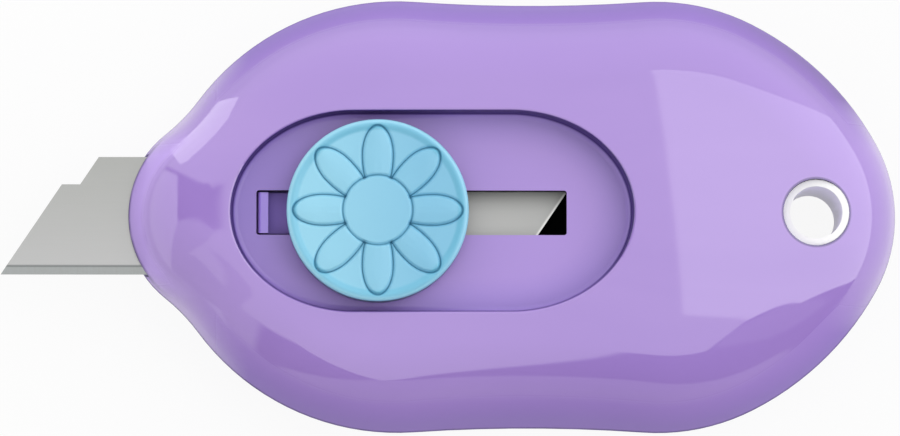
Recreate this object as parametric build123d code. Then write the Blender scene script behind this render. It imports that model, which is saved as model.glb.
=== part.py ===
"""Pocket utility knife with a sliding blade, a flower-shaped thumb button and a lanyard eye.

The knife lies on its back. +Z is up out of the thumb side, the blade points along -X, and the
origin is on the flat back, under the middle of the handle's length. All sizes are in millimetres.
"""

import math
import os

from build123d import *

# Handle: plan outline, a chain of arcs that meet at common tangents
BODY_LENGTH = 59.0
BODY_WIDTH = 33.2
NOSE_R = 8.1
NECK_R = 14.0
FRONT_LOBE_SETBACK = 20.8
FRONT_LOBE_R = 19.0
WAIST_R = 127.0
REAR_LOBE_SETBACK = 18.3
REAR_LOBE_R = 16.2
FLANK_R = 22.5
TAIL_R = 11.7

# Handle: thickness, crowned top, rounded edges and walls
BODY_THICKNESS = 12.0
CROWN_FALL_ALONG = 2.2
CROWN_FALL_ACROSS = 1.4
TOP_DRAFT = 20.0
TOP_EDGE_R = 7.0
BACK_DRAFT = 8.0
BACK_EDGE_R = 3.6
SEAM_R = 0.2
WALL = 1.8
LIP_HEIGHT = 0.7
LIP_THICKNESS = 0.7
LIP_GAP = 0.1

# Thumb track: a sunken floor in the top, with a slot for the slider's stem
TRACK_SETBACK = 8.15
TRACK_LEAD = 4.2
TRACK_END_LENGTH = 9.3
TRACK_DEPTH = 2.6
TRACK_FLOOR = 1.4
TRACK_FLOOR_R = 0.5
TRACK_RIM_R = 0.2
SLOT_SETBACK = 1.9
SLOT_WIDTH = 3.4
SLOT_CORNER_R = 0.2

# Blade: short 9 mm strip with a stepped, slanting point
BLADE_WIDTH = 9.0
BLADE_THICKNESS = 0.4
BLADE_EXTENSION = 9.5
BLADE_ANGLE = 56.0
BLADE_STEP_HEIGHT = 2.1
BLADE_STEP_LENGTH = 1.4
BEVEL_WIDTH = 0.65
EDGE_FLAT = 0.06

# Slider: carrier plate, stem, blade pegs and travel
TRAVEL = 12.0
CARRIER_LENGTH = 16.0
CARRIER_WIDTH = 9.0
CARRIER_THICKNESS = 2.0
CARRIER_LEAD = 1.0
STEM_LENGTH = 11.4
STEM_DROP = 0.2
STEM_NOSE_R = 0.25
STEM_LIP_LENGTH = 0.8
STEM_DIP_DEPTH = 0.9
BLADE_PEG_D = 2.0
BLADE_PEG_PITCH = 8.0
BLADE_PEG_TIP = 0.5

# Thumb button
BUTTON_D = 13.8
BUTTON_THICKNESS = 2.7
BUTTON_RIM_R = 0.9
BUTTON_SKIRT_R = 0.3
BUTTON_LIFT = 0.3
BUTTON_DISH = 0.25
PETAL_COUNT = 8
PETAL_ROOT_R = 1.2
PETAL_TIP_INSET = 0.6
PETAL_WIDTH = 2.24
PETAL_RISE = 0.4
HEART_R = 2.75
HEART_RISE = 0.55
PETAL_EDGE_R = 0.25
BUTTON_FOOT_LENGTH = 8.0
BUTTON_PEG_LENGTH = 2.0
BUTTON_PEG_SIDE = 1.5
BUTTON_PEG_PITCH = 4.6

# Click spring: a bent steel strip in the side of the carrier
SPRING_STRIP = 0.2
SPRING_SPAN = 9.0
SPRING_SHOULDER = 1.3
SPRING_SHOULDER_RISE = 0.55
SPRING_RISE = 1.25
SPRING_BEND_R = 0.4
SPRING_HEIGHT = 1.4
SPRING_POCKET = 0.9
CLICK_STOPS = 4
CLICK_HALF_WIDTH = 1.25
CLICK_DEPTH = 0.6

# Guides inside the case
GUIDE_THICKNESS = 1.4
BLADE_RAIL_Y = 2.8
BLADE_RAIL_THICKNESS = 1.2

# Lanyard eye: a flanged liner held between the two halves
LANYARD_INSET = 6.4
LANYARD_RIM_R = 0.3
LINER_BORE = 4.0
LINER_WALL = 0.5
LINER_RECESS = 0.4
FLANGE_WIDTH = 0.9
FLANGE_THICKNESS = 0.8
BOSS_WALL = 1.4

# Case screws
SCREW_FRONT_SETBACK = 17.0
SCREW_FRONT_Y = 11.0
SCREW_REAR_SETBACK = 16.3
SCREW_REAR_Y = 10.2
SCREW_SHANK_D = 2.0
SCREW_LENGTH = 6.4
SCREW_HEAD_D = 3.6
SCREW_HEAD_HEIGHT = 1.2
SCREW_HEAD_SINK = 0.4
SCREW_HEAD_R = 0.4
SCREW_POINT = 0.5
DRIVE_SLOT_LENGTH = 2.2
DRIVE_SLOT_WIDTH = 0.6
DRIVE_SLOT_DEPTH = 0.6

# Clearances
SLIDE_GAP = 0.1
SIDE_GAP = 0.15
END_GAP = 0.1
BUTTON_SIDE_GAP = 0.7
BUTTON_END_GAP = 0.5
GUIDE_GAP = 0.2
BLADE_GAP = 0.1
BLADE_TAIL_GAP = 1.63
PEG_GAP = 0.05
FIT_GAP = 0.03
HEAD_GAP = 0.2
MOUTH_GAP = 0.2

# Levels, from the crown down through the stack of moving pieces
TRACK_Z = BODY_THICKNESS - TRACK_DEPTH
TRAY_Z = TRACK_Z - TRACK_FLOOR
CARRIER_TOP_Z = TRAY_Z - SLIDE_GAP
BLADE_TOP_Z = CARRIER_TOP_Z - CARRIER_THICKNESS
BLADE_Z = BLADE_TOP_Z - BLADE_THICKNESS
PARTING_Z = BLADE_Z - BLADE_GAP
STEM_TOP_Z = TRACK_Z - STEM_DROP
BUTTON_Z = TRACK_Z + BUTTON_LIFT

# Places along the knife, and lengths that follow from the travel
NOSE_X = -BODY_LENGTH / 2
TAIL_X = BODY_LENGTH / 2
TRACK_FRONT_X = NOSE_X + TRACK_SETBACK
TRACK_LENGTH = TRACK_LEAD + BUTTON_D + TRAVEL + BUTTON_END_GAP
TRACK_WIDTH = BUTTON_D + 2 * BUTTON_SIDE_GAP
TRACK_X = TRACK_FRONT_X + TRACK_LENGTH / 2
BUTTON_X = TRACK_FRONT_X + TRACK_LEAD + BUTTON_D / 2
SLOT_FRONT_X = TRACK_FRONT_X + SLOT_SETBACK
SLOT_LENGTH = STEM_LENGTH + TRAVEL + 2 * END_GAP
STEM_FRONT_X = SLOT_FRONT_X + END_GAP
STEM_WIDTH = SLOT_WIDTH - 2 * SIDE_GAP
CARRIER_FRONT_X = STEM_FRONT_X - CARRIER_LEAD
CARRIER_REAR_X = CARRIER_FRONT_X + CARRIER_LENGTH
CARRIER_X = (CARRIER_FRONT_X + CARRIER_REAR_X) / 2
CLICK_X = CARRIER_X
BLADE_TIP_X = NOSE_X - BLADE_EXTENSION
BLADE_SLANT = 1 / math.tan(math.radians(BLADE_ANGLE))
LANYARD_X = TAIL_X - LANYARD_INSET
GUIDE_Y = CARRIER_WIDTH / 2 + SIDE_GAP
GUIDE_Z = BLADE_TOP_Z + GUIDE_GAP

# Round sizes that follow from others
CROWN_LONG_R = (TAIL_X**2 + CROWN_FALL_ALONG**2) / (2 * CROWN_FALL_ALONG)
CROWN_CROSS_R = ((BODY_WIDTH / 2) ** 2 + CROWN_FALL_ACROSS**2) / (2 * CROWN_FALL_ACROSS)
LINER_OD = LINER_BORE + 2 * LINER_WALL
FLANGE_D = LINER_OD + 2 * FLANGE_WIDTH
BLADE_BACK_END_X = LANYARD_X - FLANGE_D / 2 - BLADE_TAIL_GAP - TRAVEL
BLADE_TAIL_X = BLADE_BACK_END_X - BLADE_WIDTH * BLADE_SLANT
PETAL_TIP_R = BUTTON_D / 2 - PETAL_TIP_INSET


def block(x_range, y_range, z_range):
    """Box between two limits on each axis."""
    low, high = zip(x_range, y_range, z_range)
    size = [b - a for a, b in zip(low, high)]
    return Pos(*low) * Box(*size, align=(Align.MIN, Align.MIN, Align.MIN))


def post(x, y, z_range, diameter):
    """Upright cylinder between two levels."""
    low, high = z_range
    return Pos(x, y, low) * Cylinder(diameter / 2, high - low, align=(Align.CENTER, Align.CENTER, Align.MIN))


def circles_meet(centre_a, reach_a, centre_b, reach_b, side):
    """Point at given distances from two centres, left (+1) or right (-1) of the line from a to b."""
    span = centre_b - centre_a
    along = (reach_a**2 - reach_b**2 + span.length**2) / (2 * span.length)
    across = math.sqrt(reach_a**2 - along**2)
    direction = span.normalized()
    return centre_a + direction * along + Vector(-direction.Y, direction.X) * (side * across)


def outline(inset):
    """Plan face of the handle, moved inwards by inset.

    Each arc has a centre and a signed radius, plus where it bulges out and minus where it is hollow.
    Two arcs that follow each other share the outward normal (b - a) / (radius_a - radius_b).
    """
    nose = Vector(NOSE_X + NOSE_R, 0)
    front = Vector(NOSE_X + FRONT_LOBE_SETBACK, BODY_WIDTH / 2 - FRONT_LOBE_R)
    rear = Vector(TAIL_X - REAR_LOBE_SETBACK, BODY_WIDTH / 2 - REAR_LOBE_R)
    tail = Vector(TAIL_X - TAIL_R, 0)
    neck = circles_meet(nose, NOSE_R + NECK_R, front, FRONT_LOBE_R + NECK_R, 1)
    waist = circles_meet(front, FRONT_LOBE_R + WAIST_R, rear, REAR_LOBE_R + WAIST_R, 1)
    flank = circles_meet(rear, FLANK_R - REAR_LOBE_R, tail, FLANK_R - TAIL_R, -1)
    upper = [
        (nose, NOSE_R),
        (neck, -NECK_R),
        (front, FRONT_LOBE_R),
        (waist, -WAIST_R),
        (rear, REAR_LOBE_R),
        (flank, FLANK_R),
        (tail, TAIL_R),
    ]
    lower = [(Vector(c.X, -c.Y), r) for c, r in reversed(upper[1:-1])]
    loop = [*reversed(upper + lower)]
    normals = []
    for (centre, radius), (next_centre, next_radius) in zip(loop, loop[1:] + loop[:1]):
        normals.append((next_centre - centre) / (radius - next_radius))
    edges = []
    for (centre, radius), before, after in zip(loop, normals[-1:] + normals[:-1], normals):
        middle = (before + after).normalized()
        points = [centre + n * (radius - inset) for n in (before, middle, after)]
        edges.append(ThreePointArc(*points))
    return make_face(edges)


def crown_height(x):
    """Height of the crowned top on the knife's centre line."""
    return BODY_THICKNESS - CROWN_LONG_R + math.sqrt(CROWN_LONG_R**2 - x**2)


def crown(inset):
    """Solid below the gently domed top, sunk by inset: an arc across, turned about a far axis below."""
    radius = CROWN_CROSS_R - inset
    centre_z = BODY_THICKNESS - CROWN_CROSS_R
    half = BODY_WIDTH / 2 + WALL
    side_z = centre_z + math.sqrt(radius**2 - half**2)
    top = ThreePointArc((half, side_z), (0, centre_z + radius), (-half, side_z))
    sides = Polyline((-half, side_z), (-half, 0), (half, 0), (half, side_z))
    axis = Axis((0, 0, BODY_THICKNESS - CROWN_LONG_R), (0, 1, 0))
    sweep = 2 * math.degrees(math.asin((BODY_LENGTH / 2 + WALL) / (CROWN_LONG_R - BODY_THICKNESS)))
    profile = (Plane.YZ * make_face([top, *sides.edges()])).rotate(axis, -sweep / 2)
    return revolve(profile, axis, sweep)


def nose_wall():
    """Height of the top half's wall at the nose, where the crown is lowest."""
    return BODY_THICKNESS - CROWN_FALL_ALONG - PARTING_Z


def top_edge_radius():
    """Rounding of the top edge, no larger than the wall at the nose can hold."""
    crown_slope = math.asin(TAIL_X / CROWN_LONG_R)
    draft = math.radians(TOP_DRAFT)
    turn = math.pi / 2 - draft - crown_slope
    return min(TOP_EDGE_R, (nose_wall() - 2 * SEAM_R) / (math.tan(turn / 2) * math.cos(draft)))


def upper_blank(inset, seam=0.0):
    """Solid form of the top half, moved inwards by inset, with its top edge rounded."""
    prism = extrude(Pos(0, 0, PARTING_Z) * outline(inset), BODY_THICKNESS - PARTING_Z, taper=TOP_DRAFT)
    form = prism & crown(inset)
    top_edges = [e for e in form.edges() if e.bounding_box().min.Z > PARTING_Z + nose_wall() / 2]
    form = fillet(top_edges, top_edge_radius() - inset)
    if seam:
        form = fillet(form.faces().sort_by(Axis.Z)[0].edges(), seam)
    return form


def lower_blank(inset, seam=0.0):
    """Solid form of the bottom half, moved inwards by inset, with its back edge rounded."""
    form = extrude(Pos(0, 0, PARTING_Z) * outline(inset), inset - PARTING_Z, taper=BACK_DRAFT)
    form = fillet(form.faces().sort_by(Axis.Z)[0].edges(), BACK_EDGE_R - inset)
    if seam:
        form = fillet(form.faces().sort_by(Axis.Z)[-1].edges(), seam)
    return form


def track_prism(margin, z_range):
    """Track shape, straight with elliptical ends, grown by margin, between two levels."""
    low, high = z_range
    end = TRACK_END_LENGTH + margin
    half = TRACK_WIDTH / 2 + margin
    straight = TRACK_LENGTH / 2 - TRACK_END_LENGTH
    sides = [
        EllipticalCenterArc((straight, 0), end, half, -90, arc_size=180),
        Line((straight, half), (-straight, half)),
        EllipticalCenterArc((-straight, 0), end, half, 90, arc_size=180),
        Line((-straight, -half), (straight, -half)),
    ]
    return extrude(Pos(TRACK_X, 0, low) * make_face(sides), high - low)


def screw_places():
    """Plan positions of the case screws, a pair at the front and a pair at the rear."""
    front = (NOSE_X + SCREW_FRONT_SETBACK, SCREW_FRONT_Y)
    rear = (TAIL_X - SCREW_REAR_SETBACK, SCREW_REAR_Y)
    return [(x, side * y) for x, y in (front, rear) for side in (1, -1)]


def top_bosses(z_range, grow=0.0):
    """Bosses of the top half: one for each screw, and one that clamps the liner's flange."""
    bosses = [post(x, y, z_range, SCREW_SHANK_D + 2 * BOSS_WALL + 2 * grow) for x, y in screw_places()]
    return bosses + [post(LANYARD_X, 0, z_range, FLANGE_D + 2 * grow)]


def blade_mouth(height):
    """Opening in the nose that the blade passes through."""
    half = BLADE_WIDTH / 2 + MOUTH_GAP
    return block((NOSE_X - WALL, NOSE_X + NOSE_R), (-half, half), (PARTING_Z, PARTING_Z + height))


def slider_guides():
    """Two ribs that hang under the track, the left one notched for the click spring."""
    front = CARRIER_FRONT_X - SIDE_GAP
    rear = CARRIER_REAR_X + TRAVEL + SIDE_GAP
    levels = (GUIDE_Z, TRAY_Z + TRACK_FLOOR / 2)
    left = block((front, rear), (GUIDE_Y, GUIDE_Y + GUIDE_THICKNESS), levels)
    right = block((front, rear), (-GUIDE_Y - GUIDE_THICKNESS, -GUIDE_Y), levels)
    for stop in range(CLICK_STOPS):
        x = CLICK_X + TRAVEL * stop / (CLICK_STOPS - 1)
        notch = Polyline(
            (x - CLICK_HALF_WIDTH, GUIDE_Y),
            (x, GUIDE_Y + CLICK_DEPTH),
            (x + CLICK_HALF_WIDTH, GUIDE_Y),
            close=True,
        )
        left -= extrude(Pos(0, 0, GUIDE_Z) * make_face(notch), TRAY_Z - GUIDE_Z)
    return left + right


def on_track_rim(edge):
    """True for an edge of the track's mouth in the crowned top."""
    middle = edge.center()
    along = abs(middle.X - TRACK_X) < TRACK_LENGTH / 2 + END_GAP
    across = abs(middle.Y) < TRACK_WIDTH / 2 + END_GAP
    return along and across and edge.bounding_box().min.Z > TRACK_Z + TRACK_RIM_R


def on_lanyard_rim(edge):
    """True for an edge that runs round the lanyard hole's wall."""
    box = edge.bounding_box()
    wide = abs(box.size.Y - LINER_OD - 2 * FIT_GAP) < FIT_GAP
    return wide and abs(box.center().X - LANYARD_X) < FIT_GAP


def upper_shell():
    """Top half of the case: crowned shell, sunken thumb track with its slot, guides and bosses."""
    outer = upper_blank(0, SEAM_R)
    cavity = upper_blank(WALL)
    rebate = extrude(
        Pos(0, 0, PARTING_Z) * outline(WALL - LIP_THICKNESS - LIP_GAP), LIP_HEIGHT + LIP_GAP
    )
    roof = upper_blank(WALL / 2)
    shell = outer - cavity - rebate
    shell += track_prism(TRACK_FLOOR, (TRAY_Z, BODY_THICKNESS)) & roof
    shell += slider_guides()
    for boss in top_bosses((PARTING_Z, BODY_THICKNESS)):
        shell += boss & roof
    track = track_prism(0, (TRACK_Z, BODY_THICKNESS))
    shell -= fillet(track.faces().sort_by(Axis.Z)[0].edges(), TRACK_FLOOR_R)
    shell = fillet(shell.edges().filter_by(on_track_rim), TRACK_RIM_R)
    slot = RectangleRounded(SLOT_LENGTH, SLOT_WIDTH, SLOT_CORNER_R)
    slot_x = SLOT_FRONT_X + SLOT_LENGTH / 2
    shell -= extrude(Pos(slot_x, 0, PARTING_Z) * slot, BODY_THICKNESS)
    shell -= blade_mouth(BLADE_GAP + BLADE_THICKNESS + MOUTH_GAP)
    shell -= post(LANYARD_X, 0, (0, BODY_THICKNESS), LINER_OD + 2 * FIT_GAP)
    shell = fillet(shell.edges().filter_by(on_lanyard_rim).sort_by(Axis.Z)[-1], LANYARD_RIM_R)
    pilot_top = SCREW_HEAD_SINK + SCREW_HEAD_HEIGHT + SCREW_LENGTH + END_GAP
    for x, y in screw_places():
        shell -= post(x, y, (0, pilot_top), SCREW_SHANK_D + 2 * FIT_GAP)
    return shell


def lower_shell():
    """Bottom half of the case: flat back, blade rails, bosses and a lip that enters the top half."""
    shell = lower_blank(0, SEAM_R) - lower_blank(WALL)
    lip = outline(WALL - LIP_THICKNESS) - outline(WALL)
    shell += extrude(Pos(0, 0, PARTING_Z - WALL) * lip, WALL + LIP_HEIGHT)
    inside = lower_blank(WALL / 2)
    rail_x = (NOSE_X, (BLADE_TAIL_X + BLADE_BACK_END_X) / 2 + TRAVEL)
    for side in (1, -1):
        rail_y = sorted(side * (BLADE_RAIL_Y + half * BLADE_RAIL_THICKNESS / 2) for half in (-1, 1))
        shell += block(rail_x, rail_y, (0, PARTING_Z)) & inside
    to_seam = (0, PARTING_Z)
    head_seat = SCREW_HEAD_SINK + SCREW_HEAD_HEIGHT
    for x, y in screw_places():
        shell += post(x, y, to_seam, SCREW_SHANK_D + 2 * BOSS_WALL) & inside
        shell += post(x, y, (0, head_seat + BOSS_WALL), SCREW_HEAD_D + 2 * BOSS_WALL) & inside
    shell += post(LANYARD_X, 0, to_seam, FLANGE_D + 2 * BOSS_WALL) & inside
    for boss in top_bosses((PARTING_Z, PARTING_Z + LIP_HEIGHT), LIP_GAP):
        shell -= boss
    shell -= blade_mouth(BODY_THICKNESS)
    shell -= post(LANYARD_X, 0, to_seam, LINER_OD + 2 * FIT_GAP)
    shell = fillet(shell.edges().filter_by(on_lanyard_rim).sort_by(Axis.Z)[0], LANYARD_RIM_R)
    flange_seat = (PARTING_Z - FLANGE_THICKNESS, PARTING_Z)
    shell -= post(LANYARD_X, 0, flange_seat, FLANGE_D + 2 * FIT_GAP)
    for x, y in screw_places():
        shell -= post(x, y, to_seam, SCREW_SHANK_D + 2 * PEG_GAP)
        shell -= post(x, y, (0, head_seat), SCREW_HEAD_D + 2 * HEAD_GAP)
    return shell


def lanyard_liner():
    """White tube that lines the lanyard hole, with a flange held at the seam."""
    top = crown_height(LANYARD_X) - LINER_RECESS
    tube = post(LANYARD_X, 0, (LINER_RECESS, top), LINER_OD)
    flange = post(LANYARD_X, 0, (PARTING_Z - FLANGE_THICKNESS, PARTING_Z), FLANGE_D)
    return tube + flange - post(LANYARD_X, 0, (0, BODY_THICKNESS), LINER_BORE)


def case_screws():
    """Pan-head screws that hold the halves together, driven in from the back."""
    seat = SCREW_HEAD_SINK + SCREW_HEAD_HEIGHT
    screws = []
    for x, y in screw_places():
        head = post(x, y, (SCREW_HEAD_SINK, seat), SCREW_HEAD_D)
        head = fillet(head.faces().sort_by(Axis.Z)[0].edges(), SCREW_HEAD_R)
        shank = post(x, y, (seat, seat + SCREW_LENGTH), SCREW_SHANK_D)
        shank = chamfer(shank.faces().sort_by(Axis.Z)[-1].edges(), SCREW_POINT)
        drive = Pos(x, y, SCREW_HEAD_SINK) * (
            Box(DRIVE_SLOT_LENGTH, DRIVE_SLOT_WIDTH, 2 * DRIVE_SLOT_DEPTH)
            + Box(DRIVE_SLOT_WIDTH, DRIVE_SLOT_LENGTH, 2 * DRIVE_SLOT_DEPTH)
        )
        screws.append(head + shank - drive)
    return Compound(screws)


def blade_peg_places():
    """X positions of the two pegs that carry the blade."""
    return [CARRIER_X + side * BLADE_PEG_PITCH / 2 for side in (-1, 1)]


def blade():
    """Ground steel blade with a stepped slanting point, a slanting tail and two peg holes."""
    edge_y, back_y = -BLADE_WIDTH / 2, BLADE_WIDTH / 2
    ledge_y = back_y - BLADE_STEP_HEIGHT
    ledge_x = BLADE_TIP_X + (ledge_y - edge_y) * BLADE_SLANT
    corner_x = ledge_x + BLADE_STEP_LENGTH
    shape = Polyline(
        (BLADE_TIP_X, edge_y),
        (ledge_x, ledge_y),
        (corner_x, ledge_y),
        (corner_x + BLADE_STEP_HEIGHT * BLADE_SLANT, back_y),
        (BLADE_BACK_END_X, back_y),
        (BLADE_TAIL_X, edge_y),
        close=True,
    )
    strip = extrude(Pos(0, 0, BLADE_Z) * make_face(shape), BLADE_THICKNESS)
    bevel_drop = (BLADE_THICKNESS - EDGE_FLAT) / 2
    for face_z, side in ((BLADE_TOP_Z, -1), (BLADE_Z, 1)):
        wedge = Polyline(
            (edge_y, face_z),
            (edge_y + BEVEL_WIDTH, face_z),
            (edge_y, face_z + side * bevel_drop),
            close=True,
        )
        strip -= extrude(Plane.YZ * make_face(wedge), BODY_LENGTH, both=True)
    for x in blade_peg_places():
        strip -= post(x, 0, (0, BODY_THICKNESS), BLADE_PEG_D + 2 * PEG_GAP)
    return strip


def button_peg_places():
    """X positions of the two pegs under the button."""
    return [BUTTON_X, BUTTON_X - BUTTON_PEG_PITCH]


def button_foot_front():
    """X of the front end of the foot under the button."""
    return STEM_FRONT_X + STEM_LENGTH - BUTTON_FOOT_LENGTH


def button_pegs(grow):
    """Square pegs under the button, or their sockets when grown."""
    side = BUTTON_PEG_SIDE / 2 + grow
    levels = (STEM_TOP_Z - BUTTON_PEG_LENGTH - grow, STEM_TOP_Z)
    pegs = [block((x - side, x + side), (-side, side), levels) for x in button_peg_places()]
    return pegs[0] + pegs[1]


def blade_carrier():
    """Slider that runs under the track: plate, stem in the slot, blade pegs and spring pocket."""
    half = CARRIER_WIDTH / 2
    carrier = block((CARRIER_FRONT_X, CARRIER_REAR_X), (-half, half), (BLADE_TOP_Z, CARRIER_TOP_Z))
    pocket_half = SPRING_SPAN / 2 + END_GAP
    carrier -= block(
        (CLICK_X - pocket_half, CLICK_X + pocket_half),
        (half - SPRING_POCKET, half),
        (BLADE_TOP_Z, CARRIER_TOP_Z),
    )
    stem_x = (STEM_FRONT_X, STEM_FRONT_X + STEM_LENGTH)
    stem = block(stem_x, (-STEM_WIDTH / 2, STEM_WIDTH / 2), (BLADE_TOP_Z, STEM_TOP_Z))
    front_top = stem.faces().sort_by(Axis.X)[0].edges().sort_by(Axis.Z)[-1]
    stem = fillet(front_top, STEM_NOSE_R)
    dip_x = (STEM_FRONT_X + STEM_LIP_LENGTH, button_foot_front())
    stem -= block(dip_x, (-STEM_WIDTH, STEM_WIDTH), (STEM_TOP_Z - STEM_DIP_DEPTH, STEM_TOP_Z))
    carrier += stem
    for x in blade_peg_places():
        carrier += post(x, 0, (BLADE_Z - BLADE_PEG_TIP, BLADE_TOP_Z), BLADE_PEG_D)
    return carrier - button_pegs(PEG_GAP)


def petal(z_range):
    """One oval petal along +X from the button's centre."""
    low, high = z_range
    middle = (PETAL_ROOT_R + PETAL_TIP_R) / 2
    shape = Ellipse((PETAL_TIP_R - PETAL_ROOT_R) / 2, PETAL_WIDTH / 2)
    oval = extrude(Pos(middle, 0, low) * shape, high - low)
    return fillet(oval.faces().sort_by(Axis.Z)[-1].edges(), PETAL_EDGE_R)


def flower_button():
    """Round thumb button with raised petals round a heart, and two pegs that enter the stem."""
    radius = BUTTON_D / 2
    disc = post(0, 0, (BUTTON_Z, BUTTON_Z + BUTTON_THICKNESS), BUTTON_D)
    disc = fillet(disc.faces().sort_by(Axis.Z)[-1].edges(), BUTTON_RIM_R)
    disc = fillet(disc.faces().sort_by(Axis.Z)[0].edges(), BUTTON_SKIRT_R)
    face_z = BUTTON_Z + BUTTON_THICKNESS
    ground_z = face_z - BUTTON_DISH
    dish = Pos(0, 0, ground_z) * Cone(
        radius - BUTTON_RIM_R - BUTTON_DISH,
        radius - BUTTON_RIM_R,
        BUTTON_DISH,
        align=(Align.CENTER, Align.CENTER, Align.MIN),
    )
    disc -= dish
    for index in range(PETAL_COUNT):
        turn = Rot(0, 0, 360 * index / PETAL_COUNT)
        disc += turn * petal((BUTTON_Z + BUTTON_THICKNESS / 2, ground_z + PETAL_RISE))
    heart = post(0, 0, (BUTTON_Z, ground_z + HEART_RISE), 2 * HEART_R)
    disc += fillet(heart.faces().sort_by(Axis.Z)[-1].edges(), PETAL_EDGE_R)
    foot_x = (button_foot_front(), STEM_FRONT_X + STEM_LENGTH)
    foot = block(foot_x, (-STEM_WIDTH / 2, STEM_WIDTH / 2), (STEM_TOP_Z, BUTTON_Z))
    return Pos(BUTTON_X, 0, 0) * disc + foot + button_pegs(0)


def click_spring():
    """Bent steel strip whose apex clicks into the guide's notches."""
    foot_y = CARRIER_WIDTH / 2 - SPRING_POCKET + SPRING_STRIP / 2 + FIT_GAP
    half = SPRING_SPAN / 2
    bends = [
        (-half, 0),
        (-SPRING_SHOULDER, SPRING_SHOULDER_RISE),
        (0, SPRING_RISE),
        (SPRING_SHOULDER, SPRING_SHOULDER_RISE),
        (half, 0),
    ]
    path = FilletPolyline(*[(CLICK_X + x, foot_y + y) for x, y in bends], radius=SPRING_BEND_R)
    strip = trace(path, SPRING_STRIP)
    middle_z = (BLADE_TOP_Z + CARRIER_TOP_Z) / 2
    return extrude(Pos(0, 0, middle_z - SPRING_HEIGHT / 2) * strip, SPRING_HEIGHT)


PIECES = [
    upper_shell,
    lower_shell,
    lanyard_liner,
    case_screws,
    blade,
    blade_carrier,
    flower_button,
    click_spring,
]


def main():
    os.makedirs("parts", exist_ok=True)
    for make in PIECES:
        shape = make()
        export_step(shape, f"parts/{make.__name__}.step")
        print(make.__name__, round(shape.volume, 1), "mm3")


if __name__ == "__main__":
    main()
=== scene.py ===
# %% [markdown]
# # A pocket utility knife and its finishes
# The knife is a palm-sized cutter: two polished lavender half shells, a short steel blade, and a
# light-blue flower button that slides the blade in and out of the nose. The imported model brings
# every piece at its true size and place. This lesson adds what the eye looks for: a gloss that
# mirrors without a ripple, the low relief of the flower, ground steel, and a small photo studio.
# Everything is in metres, +Z is up out of the thumb side, and the blade points along -X.

# %% Load the frame
import math

import bpy
import numpy as np
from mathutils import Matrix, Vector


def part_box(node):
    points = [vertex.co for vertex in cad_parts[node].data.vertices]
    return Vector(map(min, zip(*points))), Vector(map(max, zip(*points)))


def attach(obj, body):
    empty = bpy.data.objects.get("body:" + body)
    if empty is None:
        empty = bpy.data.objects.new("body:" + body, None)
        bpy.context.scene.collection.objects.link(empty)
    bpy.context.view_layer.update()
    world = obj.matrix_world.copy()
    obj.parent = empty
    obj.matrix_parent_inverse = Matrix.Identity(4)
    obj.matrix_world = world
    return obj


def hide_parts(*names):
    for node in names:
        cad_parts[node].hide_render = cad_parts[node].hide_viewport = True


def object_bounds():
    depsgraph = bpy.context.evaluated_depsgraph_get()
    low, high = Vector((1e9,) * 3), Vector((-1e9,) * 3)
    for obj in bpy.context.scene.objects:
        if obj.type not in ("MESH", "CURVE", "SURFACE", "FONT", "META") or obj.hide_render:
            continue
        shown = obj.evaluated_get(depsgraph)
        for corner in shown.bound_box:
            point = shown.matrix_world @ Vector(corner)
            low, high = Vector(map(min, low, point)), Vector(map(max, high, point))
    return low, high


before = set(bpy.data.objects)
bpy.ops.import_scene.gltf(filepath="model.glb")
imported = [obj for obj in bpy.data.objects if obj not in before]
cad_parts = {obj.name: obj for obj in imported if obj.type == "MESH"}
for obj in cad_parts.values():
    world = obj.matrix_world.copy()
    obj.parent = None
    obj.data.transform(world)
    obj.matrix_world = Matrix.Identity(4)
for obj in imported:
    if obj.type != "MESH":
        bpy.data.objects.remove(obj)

MM = 0.001
CAD_BOX = [list(corner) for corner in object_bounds()]
for node_name in sorted(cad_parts):
    low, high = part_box(node_name)
    print(node_name, "size in mm", [round(float(side) / MM, 2) for side in high - low])

# %% [markdown]
# ## A short way to write nodes
# Every finish below is a small graph of shader nodes. They could be placed by hand in the editor,
# but a script can be read and changed line by line. A few helpers keep it short: one adds a node
# and either sets or links each input, and the others stand for a single sum, noise or mix.

# %% Node helpers
def add(tree, kind, inputs=None, **settings):
    """Adds a shader node. Settings are its options, inputs are plain values or sockets to link."""
    made = tree.nodes.new("ShaderNode" + kind)
    for name, value in settings.items():
        setattr(made, name, value)
    for key, value in (inputs or {}).items():
        if isinstance(value, bpy.types.NodeSocket):
            tree.links.new(value, made.inputs[key])
        else:
            made.inputs[key].default_value = value
    return made


def sum_of(tree, operation, first, second=0.0):
    """Result socket of one Math node."""
    return add(tree, "Math", {0: first, 1: second}, operation=operation).outputs[0]


def times(tree, first, second):
    """Product of two values."""
    return sum_of(tree, "MULTIPLY", first, second)


def minus(tree, first, second):
    """First value less the second."""
    return sum_of(tree, "SUBTRACT", first, second)


def larger(tree, first, second):
    """Larger of two values."""
    return sum_of(tree, "MAXIMUM", first, second)


def apart(tree, first, second):
    """How far apart two values are."""
    return sum_of(tree, "ABSOLUTE", minus(tree, first, second))


def split(tree, vector):
    """X, Y and Z sockets of a vector."""
    return add(tree, "SeparateXYZ", {0: vector}).outputs


def flat_length(tree, x, y):
    """Length of a vector in the plan: the root of x^2 + y^2."""
    flat = add(tree, "CombineXYZ", {0: x, 1: y}).outputs[0]
    return add(tree, "VectorMath", {0: flat}, operation="LENGTH").outputs["Value"]


def dot(tree, first, second):
    """Dot product of two vectors."""
    made = add(tree, "VectorMath", {0: first, 1: second}, operation="DOT_PRODUCT")
    return made.outputs["Value"]


def stretched(tree, vector, scale):
    """Vector with each part multiplied by that of another."""
    return add(tree, "VectorMath", {0: vector, 1: scale}, operation="MULTIPLY").outputs[0]


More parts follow.
